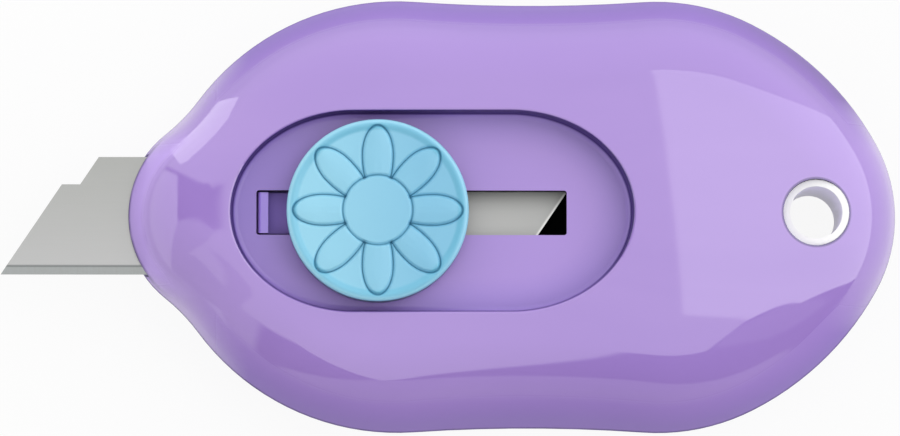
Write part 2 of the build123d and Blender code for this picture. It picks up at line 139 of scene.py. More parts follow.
def turned_flat(tree, vector, angle):
    """Vector turned about Z."""
    inputs = {"Vector": vector, "Angle": angle}
    return add(tree, "VectorRotate", inputs, rotation_type="Z_AXIS").outputs[0]


def noise(tree, vector, scale, detail, **more):
    """Value socket of a noise texture."""
    inputs = {"Vector": vector, "Scale": scale, "Detail": detail, **more}
    return add(tree, "TexNoise", inputs).outputs["Fac"]


def remap(tree, value, from_range, to_range=(0.0, 1.0)):
    """Result socket of a clamped linear map from one range to another."""
    names = ("From Min", "From Max", "To Min", "To Max")
    limits = dict(zip(names, (*from_range, *to_range)))
    return add(tree, "MapRange", {"Value": value, **limits}).outputs["Result"]


def blend_colours(tree, share, first, second):
    """Colour socket between two colours."""
    mixed = add(tree, "Mix", {0: share, 6: first, 7: second}, data_type="RGBA")
    return mixed.outputs[2]


def paint(red, green, blue):
    """Linear colour, with alpha, of an 8-bit screen colour."""
    screen = np.array([red, green, blue]) / 255
    linear = np.where(screen <= 0.04045, screen / 12.92, ((screen + 0.055) / 1.055) ** 2.4)
    return (*linear.tolist(), 1.0)


# %% [markdown]
# ## Shared surface effects
# Moulded and ground surfaces repeat a few effects at different sizes: the slow flow marks and
# orange peel of a moulding, hairline scratches from handling, the lines that a grinding belt
# leaves, and the shade that gathers at a joint. Painted textures would tie each effect to one
# piece. A node group with named inputs can be placed in any finish with its own values.

# %% Groups for moulded skin, hairlines, ground lines and joint shade
def new_group(name, inputs, outputs):
    """Node group with a Vector input and named number sockets. Returns it and its two ends."""
    tree = bpy.data.node_groups.new(name, "ShaderNodeTree")
    tree.interface.new_socket("Vector", in_out="INPUT", socket_type="NodeSocketVector")
    for label in inputs:
        tree.interface.new_socket(label, in_out="INPUT", socket_type="NodeSocketFloat")
    for label in outputs:
        tree.interface.new_socket(label, in_out="OUTPUT", socket_type="NodeSocketFloat")
    return tree, tree.nodes.new("NodeGroupInput").outputs, tree.nodes.new("NodeGroupOutput").inputs


def moulded_skin():
    """Peel is a fine even ripple, Flow is the slow streaming of the melt along the part."""
    tree, given, out = new_group("Moulded skin", ("Peel Scale", "Flow Scale"), ("Peel", "Flow"))
    drawn = add(tree, "Mapping", {"Vector": given["Vector"], "Scale": (0.4, 1.0, 1.0)}).outputs[0]
    flow = noise(tree, drawn, given["Flow Scale"], 3.0, Distortion=0.8)
    tree.links.new(noise(tree, given["Vector"], given["Peel Scale"], 1.0), out["Peel"])
    tree.links.new(flow, out["Flow"])
    return tree


SCRATCH_TURNS = (0.35, 1.3, 2.5)
SCRATCH_PEAKS, SCRATCH_PATCHES = (0.66, 0.76), (0.42, 0.62)


def hairlines():
    """Thin scratches in three directions: stretched noise, cut to its peaks, in loose patches."""
    tree, given, out = new_group("Hairlines", ("Along", "Across", "Patch Scale"), ("Mask",))
    lengths = {0: given["Along"], 1: given["Across"], 2: given["Across"]}
    stretch = add(tree, "CombineXYZ", lengths).outputs[0]
    mask = None
    for turn in SCRATCH_TURNS:
        drawn = stretched(tree, turned_flat(tree, given["Vector"], turn), stretch)
        lines = remap(tree, noise(tree, drawn, 1.0, 1.0), SCRATCH_PEAKS)
        mask = lines if mask is None else larger(tree, mask, lines)
    patch = noise(tree, given["Vector"], given["Patch Scale"], 2.0)
    tree.links.new(times(tree, mask, remap(tree, patch, SCRATCH_PATCHES)), out["Mask"])
    return tree


def ground_lines():
    """Lines of a grinding belt along X of the given vector: noise drawn out, and close across."""
    tree, given, out = new_group("Ground lines", ("Along", "Across"), ("Lines",))
    lengths = {0: given["Along"], 1: given["Across"], 2: given["Along"]}
    drawn = stretched(tree, given["Vector"], add(tree, "CombineXYZ", lengths).outputs[0])
    tree.links.new(noise(tree, drawn, 1.0, 3.0, Roughness=0.7), out["Lines"])
    return tree


def enclosed():
    """1 inside an upright box, 0 outside: its middle along X, half sizes and two levels."""
    sizes = ("Middle", "Half Length", "Half Width", "Bottom", "Top")
    tree, given, out = new_group("Enclosed", sizes, ("Mask",))
    x, y, z = split(tree, given["Vector"])
    from_middle = apart(tree, x, given["Middle"])
    inside = sum_of(tree, "LESS_THAN", from_middle, given["Half Length"])
    for first, second in (
        (sum_of(tree, "ABSOLUTE", y), given["Half Width"]),
        (given["Bottom"], z),
        (z, given["Top"]),
    ):
        inside = times(tree, inside, sum_of(tree, "LESS_THAN", first, second))
    tree.links.new(inside, out["Mask"])
    return tree


JOINT_GRAIN = 900.0


def joint_shade():
    """1 at a given height, falling to 0 over a width above and below, broken up by fine noise."""
    tree, given, out = new_group("Joint shade", ("Level", "Width"), ("Mask",))
    height = split(tree, given["Vector"])["Z"]
    away = apart(tree, height, given["Level"])
    near = minus(tree, 1.0, sum_of(tree, "DIVIDE", away, given["Width"]))
    grain = noise(tree, given["Vector"], JOINT_GRAIN, 3.0)
    broken = remap(tree, grain, (0.2, 0.6), (0.55, 1.0))
    soft = times(tree, larger(tree, near, 0.0), broken)
    tree.links.new(soft, out["Mask"])
    return tree


MAKERS = (moulded_skin, hairlines, ground_lines, enclosed, joint_shade)
EFFECTS = {make.__name__: make() for make in MAKERS}
print("shared effects:", [group.name for group in EFFECTS.values()])


# %% [markdown]
# ## A base for every finish
# Each finish is one material with one Principled shader. Whatever is the same all over the piece,
# such as how strongly it mirrors, is set straight on the shader. Whatever varies comes from the
# effects, measured on Object coordinates, so a pattern keeps its real size and stays on the piece.

# %% Start a finish
def new_finish(name, constants):
    """Material with a Principled shader and its constant sockets set. Returns it and its parts."""
    finish = bpy.data.materials.new(name)
    finish.use_nodes = True
    tree = finish.node_tree
    shader = tree.nodes["Principled BSDF"]
    for label, value in constants.items():
        shader.inputs[label].default_value = value
    return finish, tree, shader, add(tree, "TexCoord").outputs["Object"]


def effect(tree, name, vector, **inputs):
    """Output sockets of a shared effect, placed in a finish with its own values."""
    values = {label.replace("_", " "): value for label, value in inputs.items()}
    return add(tree, "Group", {"Vector": vector, **values}, node_tree=EFFECTS[name]).outputs


def feed(tree, shader, colour, roughness):
    """Links a colour and a roughness that vary over the piece to its shader."""
    tree.links.new(colour, shader.inputs["Base Color"])
    tree.links.new(roughness, shader.inputs["Roughness"])


def set_bump(tree, shader, height, depth):
    """Links a height pattern of the given depth, in metres, to the shader's normal."""
    bump = add(tree, "Bump", {"Height": height, "Strength": 1.0, "Distance": depth})
    tree.links.new(bump.outputs["Normal"], shader.inputs["Normal"])


# %% [markdown]
# ## Polished lavender plastic
# The case is moulded in a mirror-polished tool, so the lamps show in it with sharp edges. A plain
# glossy colour would do from afar. Up close a moulding has slow flow marks, a peel finer than the
# eye can place, hairlines from handling and a darker line in the seam, so the colour, the
# roughness and the normal each carry one of them, all very faint. The steep long sides have lost
# their polish, and painted shade darkens them, most near the tail. The thin lip at the blade's
# mouth is painted paler, a painted highlight, and the lanyard hole has a fine dark edge. The track
# has a paler floor as painted light, with painted shade towards its front, in its corners and on
# its wall, and inside the case the colour is painted near black as painted shade. The mirror
# itself is a coat, whose weight falls where the polish is lost.

# %% Case plastic
LAVENDER = paint(160, 128, 204)
LAVENDER_DEEP = paint(154, 122, 200)
EDGE_SHADE_TINT = paint(136, 106, 190)
TAIL_EDGE_SHADE = paint(120, 94, 164)
LIP_PAINTED_LIGHT = paint(184, 155, 228)
TRACK_PAINTED_LIGHT = paint(172, 143, 214)
TRACK_SHADE = paint(146, 122, 206)
CARRIER_TINT = paint(164, 132, 234)
CARRIER_DEEP = paint(154, 122, 230)
JOINT_AND_SHADE_TINT = paint(62, 40, 112)
INSIDE_SHADE = paint(10, 8, 14)
SEAM_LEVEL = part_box("upper_shell")[0].z
SEAM_WIDTH = 0.45 * MM
MOUTH_TOP = 6.1 * MM
TRACK_FRONT, TRACK_LENGTH = -21.35 * MM, 30.5 * MM
TRACK_HALF_WIDTH, TRACK_END, TRACK_FLOOR = 7.6 * MM, 9.3 * MM, 9.4 * MM
TRACK_MIDDLE = TRACK_FRONT + TRACK_LENGTH / 2
HOLE_X, HOLE_R = 23.1 * MM, 2.53 * MM
# Steepness is measured from this direction: up, leaning a little to the nose and the cutting edge.
LEVEL_WAY = (-0.017, -0.073, 0.997)
INSIDE = {"Middle": TRACK_MIDDLE, "Half Length": 15.4 * MM, "Half Width": 4.6 * MM}
INSIDE["Bottom"] = 0.5 * MM
NOSE_ZONE, TAIL_ZONE = (-20 * MM, -25 * MM), (21 * MM, 25 * MM)
TAIL_HALF_ZONE, MOUTH_HALF_ZONE = (5 * MM, 9 * MM), (4.5 * MM, 6.5 * MM)
DEEP_EDGE_X, DEEP_EDGE_Y = (14 * MM, 22 * MM), (4 * MM, 9 * MM)
POLISHED, SATIN, HAIRLINE_DULLING = 0.035, 0.16, 0.1
SIDE_LOST, LIP_LOST, FLOOR_LOST = 0.92, 0.8, 0.9
LOST_ROUGHNESS, FLOOR_ROUGHNESS = 0.6, 0.35
PEEL_DEPTH = 0.0004 * MM


def track_reach(tree, place):
    """0 in the middle of the thumb track and 1 on its wall, straight between elliptical ends."""
    x, y, _ = split(tree, place)
    from_middle = apart(tree, x, TRACK_MIDDLE)
    past_straight = minus(tree, from_middle, TRACK_LENGTH / 2 - TRACK_END)
    along = sum_of(tree, "DIVIDE", larger(tree, past_straight, 0.0), TRACK_END)
    across = sum_of(tree, "DIVIDE", y, TRACK_HALF_WIDTH)
    return flat_length(tree, along, across)


def track_tones(tree, place, tone):
    """Colour of the case with its track: a floor painted paler as painted light, painted shade
    deeper towards its front and corners, and painted shade as a dark line in the crease and on the
    wall.

    The painted dark line between floor and wall fades on the front side, where the wall leans to
    the light.
    """
    x, y, z = split(tree, place)
    reach = track_reach(tree, place)
    low = remap(tree, z, (TRACK_FLOOR + 0.3 * MM, TRACK_FLOOR + 0.6 * MM), (1.0, 0.0))
    on_floor = times(tree, low, remap(tree, reach, (1.0, 1.01), (1.0, 0.0)))
    on_floor = times(tree, on_floor, sum_of(tree, "GREATER_THAN", z, TRACK_FLOOR - 0.5 * MM))
    # Painted shade: darker towards the front of the track and into its corners.
    forward_shade = remap(tree, x, (-4 * MM, TRACK_FRONT), (0.1, 0.8))
    forward_shade = times(tree, forward_shade, remap(tree, y, (-7 * MM, 0.0), (0.5, 1.0)))
    corner = remap(tree, reach, (0.6, 1.0), (0.0, 0.6))
    # The paler floor colour is painted light, standing in for a sheen.
    floor_tone = blend_colours(tree, larger(tree, forward_shade, corner), TRACK_PAINTED_LIGHT, TRACK_SHADE)
    shaded = remap(tree, y, (-6 * MM, -3 * MM), (0.6, 1.0))
    # Painted shade: a dark line in the crease between floor and wall.
    crease_shade = times(tree, shaded, remap(tree, reach, (0.976, 0.99)))
    floor_tone = blend_colours(tree, crease_shade, floor_tone, JOINT_AND_SHADE_TINT)
    # Painted shade: a dark line on the wall of the track.
    away = apart(tree, reach, 1.0)
    near = remap(tree, away, (0.005, 0.016), (1.0, 0.0))
    wall = times(tree, near, minus(tree, 1.0, low))
    wall = times(tree, wall, shaded)
    floored = blend_colours(tree, on_floor, tone, floor_tone)
    return blend_colours(tree, wall, floored, JOINT_AND_SHADE_TINT), on_floor


def hole_line(tree, place):
    """1 on the edge of the lanyard hole, where the case turns in towards its liner."""
    x, y, _ = split(tree, place)
    reach = flat_length(tree, minus(tree, x, HOLE_X), y)
    return remap(tree, reach, (HOLE_R + 0.08 * MM, HOLE_R + 0.2 * MM), (0.85, 0.0))


def rim_shade(tree, place):
    """Masks for the rim: painted shade on its steep long sides, the mirror lost, and the nose's
    lip.

    The long sides drag along the tool when the case is pushed out, which takes the polish off them,
    on the front side higher up than on the back. The nose and the tail keep it. The thin lip over
    the blade is painted paler, a painted highlight.
    """
    x, y, _ = split(tree, place)
    level = dot(tree, add(tree, "TexCoord").outputs["Normal"], LEVEL_WAY)
    steep = minus(tree, 1.0, sum_of(tree, "ABSOLUTE", level))
    off_middle = sum_of(tree, "ABSOLUTE", y)
    at_nose = remap(tree, x, NOSE_ZONE)
    midway = remap(tree, off_middle, TAIL_HALF_ZONE, (1.0, 0.0))
    at_tail = times(tree, midway, remap(tree, x, TAIL_ZONE))
    along_side = minus(tree, 1.0, larger(tree, at_nose, at_tail))
    later = minus(tree, steep, remap(tree, y, (-6 * MM, 6 * MM), (0.0, 0.17)))
    lost = times(tree, along_side, remap(tree, later, (0.2, 0.28), (0.0, SIDE_LOST)))
    over_blade = remap(tree, off_middle, MOUTH_HALF_ZONE, (1.0, 0.0))
    lip = times(tree, at_nose, remap(tree, steep, (0.3, 0.4)))
    lip = times(tree, lip, over_blade)
    lost = larger(tree, lost, times(tree, lip, LIP_LOST))
    return times(tree, along_side, remap(tree, steep, (0.2, 0.7))), lost, lip


def lavender_plastic(name, roughness, tints, shade_top, shade_tint, tracked):
    """Moulded lavender plastic: flow marks tint it, hairlines dull it, joints are dark; painted
    shade and light.
    """
    constants = {"Specular IOR Level": 0.5, "Coat Roughness": 0.02, "Coat IOR": 1.655}
    finish, tree, shader, place = new_finish(name, constants)
    skin = effect(tree, "moulded_skin", place, Peel_Scale=900.0, Flow_Scale=90.0)
    seam = effect(tree, "joint_shade", place, Level=SEAM_LEVEL, Width=SEAM_WIDTH)["Mask"]
    lines = effect(tree, "hairlines", place, Along=60.0, Across=5200.0, Patch_Scale=70.0)["Mask"]
    mouth = effect(tree, "joint_shade", place, Level=MOUTH_TOP, Width=SEAM_WIDTH)["Mask"]
    # Painted shade: inside the case, below a given level, the colour is painted dark.
    inside = effect(tree, "enclosed", place, **INSIDE, Top=shade_top)["Mask"]
    steep, lost, lip = rim_shade(tree, place)
    tone = blend_colours(tree, remap(tree, skin["Flow"], (0.3, 0.7)), *tints)
    x, y, _ = split(tree, place)
    # Painted shade: the steep sides are darker, deepest near the tail; painted light: the nose lip
    # is paler.
    by_tail = times(tree, remap(tree, x, DEEP_EDGE_X), remap(tree, y, DEEP_EDGE_Y))
    edge_shade_tone = blend_colours(tree, by_tail, EDGE_SHADE_TINT, TAIL_EDGE_SHADE)
    tone = blend_colours(tree, steep, blend_colours(tree, lip, tone, LIP_PAINTED_LIGHT), edge_shade_tone)
    matte = larger(tree, times(tree, lost, LOST_ROUGHNESS), inside)
    if tracked:
        tone, on_floor = track_tones(tree, place, tone)
        tone = blend_colours(tree, hole_line(tree, place), tone, JOINT_AND_SHADE_TINT)
        lost = larger(tree, lost, times(tree, on_floor, FLOOR_LOST))
        matte = larger(tree, times(tree, on_floor, FLOOR_ROUGHNESS), matte)
    seam = larger(tree, seam, times(tree, mouth, lip))
    tone = blend_colours(tree, seam, tone, JOINT_AND_SHADE_TINT)
    worn = remap(tree, lines, (0.0, 1.0), (roughness, roughness + HAIRLINE_DULLING))
    # Painted shade: the inside is painted dark.
    colour = blend_colours(tree, inside, tone, shade_tint)
    feed(tree, shader, colour, larger(tree, worn, matte))
    mirror = minus(tree, 1.0, larger(tree, lost, inside))
    tree.links.new(mirror, shader.inputs["Coat Weight"])
    set_bump(tree, shader, skin["Peel"], PEEL_DEPTH)
    return finish


case_tints, case_shade_top = (LAVENDER, LAVENDER_DEEP), TRACK_FLOOR - 0.08 * MM
case_gloss = lavender_plastic(
    "case_plastic_polished", POLISHED, case_tints, case_shade_top, INSIDE_SHADE, True
)
# Painted shade: the carrier's dip below its stem top is painted darker.
carrier_tints, carrier_shade_top = (CARRIER_TINT, CARRIER_DEEP), TRACK_FLOOR - 0.9 * MM
carrier_satin = lavender_plastic(
    "carrier_plastic_satin", SATIN, carrier_tints, carrier_shade_top, TRACK_SHADE, False
)
print("lavender, linear:", [round(c, 3) for c in LAVENDER[:3]])


# %% [markdown]
# ## Normals that the gloss can trust
# A polished surface shows its normals, not its points: facets that nobody sees in the outline bend
# the edge of a mirrored lamp. More triangles would help a little. The sure way is to work the
# normals out. The shell is a drafted wall round an outline of tangent arcs, closed by a domed
# crown, with a rounded edge between them. A ball that rolls along that edge touches both, and the
# normal points from the ball's centre to the surface.

# %% Outline of the case
CASE_LENGTH = 59.0 * MM
CASE_WIDTH = 33.2 * MM
NOSE_R, NECK_R, FRONT_LOBE_R, WAIST_R = 8.1 * MM, 14.0 * MM, 19.0 * MM, 127.0 * MM
REAR_LOBE_R, FLANK_R, TAIL_R = 16.2 * MM, 22.5 * MM, 11.7 * MM
FRONT_LOBE_SETBACK = 20.8 * MM
REAR_LOBE_SETBACK = 18.3 * MM


def meeting_point(a, reach_a, b, reach_b, side):
    """Plan point, as a complex number, at two distances from a and b, left (+1) or right (-1)."""
    span = b - a
    along = (reach_a**2 - reach_b**2 + abs(span) ** 2) / (2 * abs(span))
    across = math.sqrt(reach_a**2 - along**2)
    return a + span / abs(span) * complex(along, side * across)


def outline_arcs():
    """Centre, signed radius and end directions of each arc, nose to tail and round again."""
    half, side = CASE_LENGTH / 2, CASE_WIDTH / 2
    nose, tail = complex(NOSE_R - half, 0), complex(half - TAIL_R, 0)
    front = complex(FRONT_LOBE_SETBACK - half, side - FRONT_LOBE_R)
    rear = complex(half - REAR_LOBE_SETBACK, side - REAR_LOBE_R)
    neck = meeting_point(nose, NOSE_R + NECK_R, front, FRONT_LOBE_R + NECK_R, 1)
    waist = meeting_point(front, FRONT_LOBE_R + WAIST_R, rear, REAR_LOBE_R + WAIST_R, 1)
    flank = meeting_point(rear, FLANK_R - REAR_LOBE_R, tail, FLANK_R - TAIL_R, -1)
    upper = [(nose, NOSE_R), (neck, -NECK_R), (front, FRONT_LOBE_R), (waist, -WAIST_R)]
    upper += [(rear, REAR_LOBE_R), (flank, FLANK_R), (tail, TAIL_R)]
    loop = upper + [(centre.conjugate(), radius) for centre, radius in upper[-2:0:-1]]
    joints = [(d - c) / (r - s) for (c, r), (d, s) in zip(loop, loop[1:] + loop[:1])]
    starts = joints[-1:] + joints[:-1]
    return [(c, r, first, last) for (c, r), first, last in zip(loop, starts, joints)]


def inside_outline(points):
    """Depth of each point inside the outline, and the direction out of it, in the plan."""
    plan = points[:, 0] + 1j * points[:, 1]
    depth = np.full(len(plan), np.inf)
    outward = np.zeros(len(plan), complex)
    for centre, radius, first, last in outline_arcs():
        away = plan - centre
        way = np.sign(radius) * away / np.abs(away)
        reach = radius - np.sign(radius) * np.abs(away)
        share = np.angle(way / first) / np.angle(last / first)
        nearest = (share > -0.02) & (share < 1.02) & (np.abs(reach) < np.abs(depth))
        depth = np.where(nearest, reach, depth)
        outward = np.where(nearest, way, outward)
    return depth, np.stack([outward.real, outward.imag], axis=1)


print("outline arcs:", len(outline_arcs()))

# %% Crown, walls and rounded edges
CROWN_TOP = 12.0 * MM
CROWN_FALL_ALONG = 2.2 * MM
CROWN_FALL_ACROSS = 1.4 * MM
TOP_DRAFT, TOP_EDGE_R = math.radians(20.0), 7.0 * MM
BACK_DRAFT, BACK_EDGE_R = math.radians(8.0), 3.6 * MM
SURFACE_MATCH = 0.06 * MM
SAME_WAY = math.cos(math.radians(4.0))


def crown(points):
    """Depth under the domed top and the normal out of it: an arc across, swung about a far axis."""
    long_r = ((CASE_LENGTH / 2) ** 2 + CROWN_FALL_ALONG**2) / (2 * CROWN_FALL_ALONG)
    cross_r = ((CASE_WIDTH / 2) ** 2 + CROWN_FALL_ACROSS**2) / (2 * CROWN_FALL_ACROSS)
    x, y, z = points[:, 0], points[:, 1], points[:, 2] - (CROWN_TOP - long_r)
    reach = np.hypot(x, z)
    spoke = reach - (long_r - cross_r)
    length = np.hypot(spoke, y)
    outward = np.stack([x * spoke / reach, y, z * spoke / reach], axis=1)
    return cross_r - length, outward / length[:, None]


def drafted_wall(points, draft, rise):
    """Depth behind the outer wall and its normal. It leans inwards going up (+1) or down (-1)."""
    depth, outward = inside_outline(points)
    lean = (points[:, 2] - SEAM_LEVEL) * rise * math.tan(draft)
    tilt = np.full(len(points), rise * math.sin(draft))
    return (depth - lean) * math.cos(draft), np.column_stack([outward * math.cos(draft), tilt])


def rounded_edge(wall, cap, radius):
    """Normals on a wall, a cap and the rounded edge between them, and how well each point fits.

    The ball's centre lies radius deep under both. A point's spoke from it is p wall + q cap, where
    p + q c = radius - wall depth, p c + q = radius - cap depth, and c is the cosine between the two
    normals. Where p or q would be negative, the point lies on the cap or on the wall alone.
    """
    (wall_depth, wall_way), (cap_depth, cap_way) = wall, cap
    cosine = (wall_way * cap_way).sum(axis=1)
    to_wall, to_cap = radius - wall_depth, radius - cap_depth
    p = (to_wall - cosine * to_cap) / (1 - cosine**2)
    q = (to_cap - cosine * to_wall) / (1 - cosine**2)
    on_wall = np.where(p < 0, 0, np.where(q < 0, to_wall, p))
    on_cap = np.where(p < 0, to_cap, np.maximum(q, 0))
    spoke = on_wall[:, None] * wall_way + on_cap[:, None] * cap_way
    length = np.linalg.norm(spoke, axis=1)
    return spoke / length[:, None], np.abs(length - radius)


def top_normals(points):
    """Normals of the top half's outside."""
    return rounded_edge(drafted_wall(points, TOP_DRAFT, 1), crown(points), TOP_EDGE_R)


def back_normals(points):
    """Normals of the bottom half's outside, which ends in the flat back."""
    down = np.tile([0.0, 0.0, -1.0], (len(points), 1))
    return rounded_edge(drafted_wall(points, BACK_DRAFT, -1), (points[:, 2], down), BACK_EDGE_R)


# %% Shells with true normals
def welded(node):
    """Points, triangles and corner normals of a CAD node, with points that coincide made one."""
    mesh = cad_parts[node].data
    points = np.empty(len(mesh.vertices) * 3, np.float32)
    corners = np.empty(len(mesh.loops), np.int32)
    normals = np.empty(len(mesh.loops) * 3, np.float32)
    mesh.vertices.foreach_get("co", points)
    mesh.loops.foreach_get("vertex_index", corners)
    mesh.corner_normals.foreach_get("vector", normals)
    points = points.reshape(-1, 3)
    _, first, index = np.unique(points.round(7), axis=0, return_index=True, return_inverse=True)
    triangles = index.reshape(-1)[corners].reshape(-1, 3)
    whole = (triangles != np.roll(triangles, 1, axis=1)).all(axis=1)
    normals = normals.reshape(-1, 3, 3)[whole]
    return points[first].astype(float), triangles[whole], normals.astype(float)


def polished_shell(name, node, true_normals):
    """Copy of a shell whose outside shades by the formula, where a corner lies on that surface."""
    points, triangles, normals = welded(node)
    corners = normals.reshape(-1, 3)
    exact, misfit = true_normals(points[triangles].reshape(-1, 3))
    outside = (misfit < SURFACE_MATCH) & ((exact * corners).sum(axis=1) > SAME_WAY)
    corners = np.where(outside[:, None], exact, corners)
    mesh = bpy.data.meshes.new(name)
    mesh.from_pydata(points.tolist(), [], triangles.tolist())
    mesh.shade_smooth()
    mesh.normals_split_custom_set(corners.tolist())
    shell = bpy.data.objects.new(name, mesh)
    bpy.context.scene.collection.objects.link(shell)
    mesh.materials.append(case_gloss)
    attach(shell, "case")
    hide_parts(node)
    print(name, "triangles", len(triangles), "corners on the polished outside", int(outside.sum()))
    return shell


polished_shell("case_top", "upper_shell", top_normals)
polished_shell("case_back", "lower_shell", back_normals)


# %% [markdown]
# ## The flower button
# The thumb button is a satin blue disc with a flower in low relief: eight leaf-shaped petals round
# a raised heart, each drawn by a fine groove, inside a rounded rim. It could be cut out of a disc
# with curves and bevels. A height over a polar grid is simpler and rounder: the angle is folded
# into one petal's share, and the distance from that petal's edge gives its wall and its groove.

# %% Sizes of the button
BUTTON_LOW, BUTTON_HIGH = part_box("flower_button")
BUTTON_X = (BUTTON_LOW.x + BUTTON_HIGH.x) / 2
BUTTON_R = (BUTTON_HIGH.y - BUTTON_LOW.y) / 2
SKIRT_Z = BUTTON_HIGH.z - 3.0 * MM
CREST_Z = BUTTON_HIGH.z - 0.3 * MM
GROUND_Z = BUTTON_HIGH.z - 0.42 * MM
RIM_R, SKIRT_R = 0.4 * MM, 0.3 * MM
DISH_R = 6.0 * MM
PETALS = 8
PETAL_MIDDLE, PETAL_HALF_WIDTH = 4.2 * MM, 1.12 * MM
PETAL_TIP_LENGTH, PETAL_ROOT_LENGTH = 2.15 * MM, 3.0 * MM
PETAL_TIP = PETAL_MIDDLE + PETAL_TIP_LENGTH
PETAL_RISE, PETAL_DOME = 0.08 * MM, 0.1 * MM
HEART_R, HEART_RISE, HEART_DOME = 2.6 * MM, 0.16 * MM, 0.05 * MM
GROOVE_DEPTH, GROOVE_WIDTH = 0.16 * MM, 0.1 * MM
EDGE_WIDTH = 0.16 * MM


def smooth_step(value, start, end):
    """0 before start, 1 after end, and an even S between them: 3t^2 - 2t^3."""
    t = np.clip((value - start) / (end - start), 0, 1)
    return t * t * (3 - 2 * t)


def petal_edge(radius, angle):
    """Distance from the nearest petal's edge, negative inside.

    The petal is an egg: with u the way from its middle along it and y across it, t is u over the
    tip length or over the root length, whichever is larger, and w is y over the half width. Then
    f = sqrt(t^2 + w^2) - 1 is 0 on the edge, and f over the length of its slope is the distance.
    """
    share = 2 * math.pi / PETALS
    folded = (angle + share / 2) % share - share / 2
    u, y = radius * np.cos(folded) - PETAL_MIDDLE, radius * np.sin(folded)
    half_length = np.where(u > 0, PETAL_TIP_LENGTH, PETAL_ROOT_LENGTH)
    t, w = u / half_length, y / PETAL_HALF_WIDTH
    reach = np.maximum(np.hypot(t, w), 0.2)
    slope = np.hypot(t / half_length, w / PETAL_HALF_WIDTH) / reach
    return (np.hypot(t, w) - 1) / np.maximum(slope, 0.3 / PETAL_HALF_WIDTH)


def groove(distance):
    """Round-bottomed groove just outside an edge: a bell curve of the distance from it."""
    return -GROOVE_DEPTH * np.exp(-(((distance - GROOVE_WIDTH / 2) / GROOVE_WIDTH) ** 2))


def relief(radius, angle):
    """Height of the flower over the button's plain face: pillowed petals, heart and grooves."""
    edge = petal_edge(radius, angle)
    on_petal = smooth_step(-edge, -EDGE_WIDTH / 4, EDGE_WIDTH)
    pillow = PETAL_DOME * (1 - (1 - np.clip(-edge / PETAL_HALF_WIDTH, 0, 1)) ** 2)
    flower = (PETAL_RISE + pillow) * on_petal + groove(edge)
    heart_edge = radius - HEART_R
    on_heart = smooth_step(-heart_edge, -EDGE_WIDTH / 4, EDGE_WIDTH)
    heart = HEART_RISE + HEART_DOME * (1 - (radius / HEART_R) ** 2)
    outside = smooth_step(heart_edge, -EDGE_WIDTH, EDGE_WIDTH / 2)
    return flower * outside + heart * on_heart + groove(heart_edge)


print("button radius in mm", round(BUTTON_R / MM, 2), "petals", PETALS)

# %% Surfaces of the button
COLUMNS = 480
FACE_ROWS, ARC_ROWS = 150, 14


def button_rings():
    """Rings of the disc, from the middle of its face over the rim and in again under the skirt."""
    crest_r = BUTTON_R - RIM_R
    face_r = np.linspace(0, crest_r, FACE_ROWS + 1)[1:]
    face_z = GROUND_Z + (CREST_Z - GROUND_Z) * smooth_step(face_r, DISH_R, crest_r)
    over = np.linspace(0, math.pi / 2, ARC_ROWS + 1)[1:]
    rim_r, rim_z = crest_r + RIM_R * np.sin(over), CREST_Z - RIM_R * (1 - np.cos(over))
    skirt_r = BUTTON_R - SKIRT_R * (1 - np.cos(over))
    skirt_z = SKIRT_Z + SKIRT_R * (1 - np.sin(over))
    wall_z = np.linspace(rim_z[-1], SKIRT_Z + SKIRT_R, 5)[1:]
    under_r = np.array([0.6, 0.2]) * BUTTON_R
    radius = np.concatenate([face_r, rim_r, np.full(4, BUTTON_R), skirt_r, under_r])
    height = np.concatenate([face_z, rim_z, wall_z, skirt_z, np.full(2, SKIRT_Z)])
    angle = np.linspace(0, 2 * math.pi, COLUMNS, endpoint=False)
    r, a = np.meshgrid(radius, angle, indexing="ij")
    z = np.repeat(height[:, None], COLUMNS, axis=1)
    upper = np.arange(len(radius)) < FACE_ROWS + ARC_ROWS
    fade = 1 - smooth_step(r, PETAL_TIP + GROOVE_WIDTH / 2, PETAL_TIP + 3 * GROOVE_WIDTH)
    z = z + np.where(upper[:, None], relief(r, a) * fade, 0)
    return np.stack([BUTTON_X + r * np.cos(a), r * np.sin(a), z], axis=-1)


def block_rings(low, high, edge):
    """Rings of a small block with rounded upright corners, from its top down to its underside."""
    angle = np.linspace(0, 2 * math.pi, 32, endpoint=False)
    centre, half = (np.array(low) + high) / 2, (np.array(high) - low) / 2
    corner = np.sign([np.cos(angle), np.sin(angle)]).T * (half[:2] - edge)
    turn = np.stack([np.cos(angle), np.sin(angle)], axis=1) * edge
    levels = [(0, half[2]), (1, half[2] - edge), (1, edge - half[2]), (0, -half[2])]
    rings = [np.column_stack([corner + full * turn, np.full(32, z)]) for full, z in levels]
    return np.array(rings) + centre


def ring_mesh(name, sheets):
    """Mesh of closed surfaces: quads between neighbouring rings, a fan to a pole at either end."""
    points, faces, start = [], [], 0
    for rings in sheets:
        rows, columns = rings.shape[:2]
        points += [rings.reshape(-1, 3), rings[0].mean(axis=0)[None], rings[-1].mean(axis=0)[None]]
        index = start + np.arange(rows * columns).reshape(rows, columns)
        beside = np.roll(index, -1, axis=1)
        quads = np.stack([index[:-1], index[1:], beside[1:], beside[:-1]], axis=-1)
        faces += quads.reshape(-1, 4).tolist()
        first_pole = np.full(columns, start + rows * columns)
        faces += np.stack([first_pole, index[0], beside[0]], axis=-1).tolist()
        faces += np.stack([index[-1], first_pole + 1, beside[-1]], axis=-1).tolist()
        start += rows * columns + 2
    mesh = bpy.data.meshes.new(name)
    mesh.from_pydata(np.concatenate(points).tolist(), [], faces)
    return mesh


